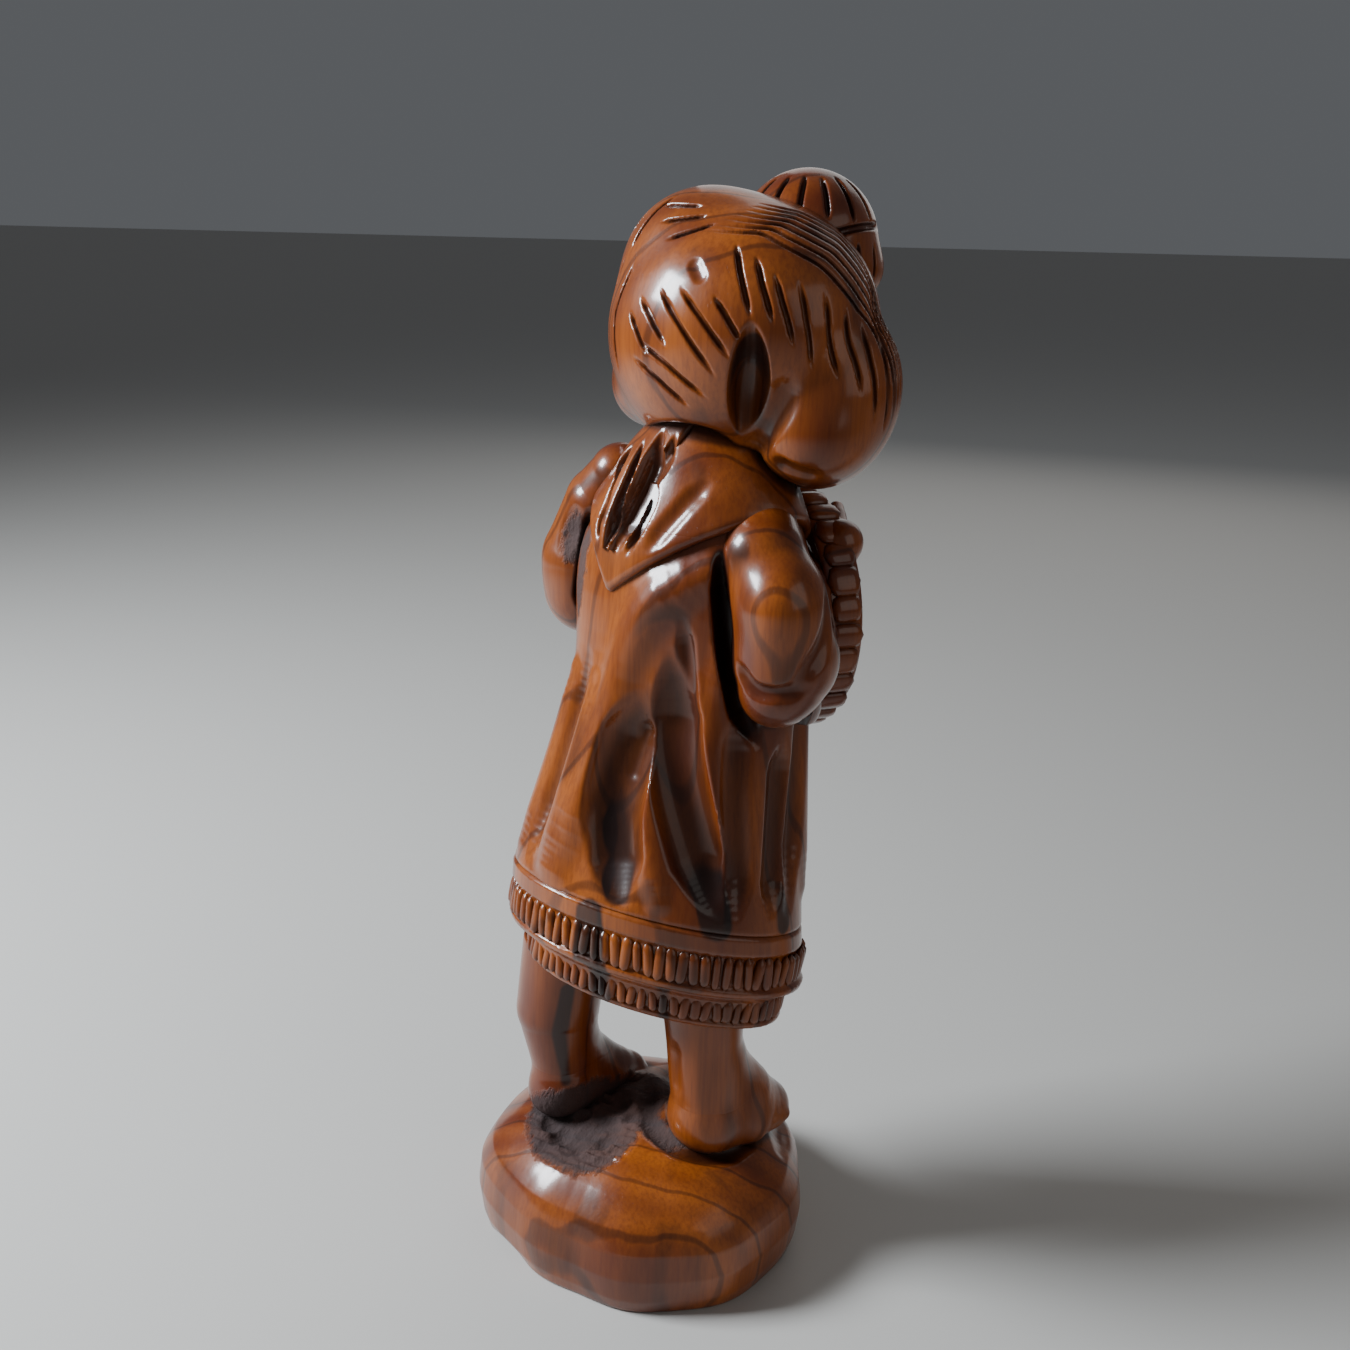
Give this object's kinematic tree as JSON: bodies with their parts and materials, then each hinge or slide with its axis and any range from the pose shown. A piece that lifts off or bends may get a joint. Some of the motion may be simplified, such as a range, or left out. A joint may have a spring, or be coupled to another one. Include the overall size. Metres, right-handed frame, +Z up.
{
  "type": "carved wooden figurine",
  "caption": "Glossy carved wooden figurine in a fringed robe and kerchief, hair in a bun, holding a round hand drum, standing on a mound.",
  "frame": {"origin": "centre of the flat rest face under the mound", "axes": "+Z up, the figure faces -Y, its left side is +X"},
  "size_m": [0.0638, 0.0701, 0.2],
  "materials": {
    "varnished_wood": "gloss"
  },
  "bodies": {
    "root": {"base_mound": "varnished_wood", "left_foot": "varnished_wood", "right_foot": "varnished_wood", "left_leg": "varnished_wood", "right_leg": "varnished_wood", "underskirt_fringe": "varnished_wood", "tunic_fringe": "varnished_wood", "robe": "varnished_wood", "kerchief": "varnished_wood", "kerchief_point": "varnished_wood", "kerchief_tails": "varnished_wood", "head": "varnished_wood", "neck": "varnished_wood", "right_sleeve": "varnished_wood", "left_sleeve": "varnished_wood", "hand_drum": "varnished_wood", "right_cuff": "varnished_wood", "left_cuff": "varnished_wood", "right_hand": "varnished_wood", "left_hand": "varnished_wood", "back_hair": "varnished_wood", "crown_hair": "varnished_wood", "right_hair_lobe": "varnished_wood", "left_hair_lobe": "varnished_wood", "topknot": "varnished_wood"}
  },
  "joints": []
}
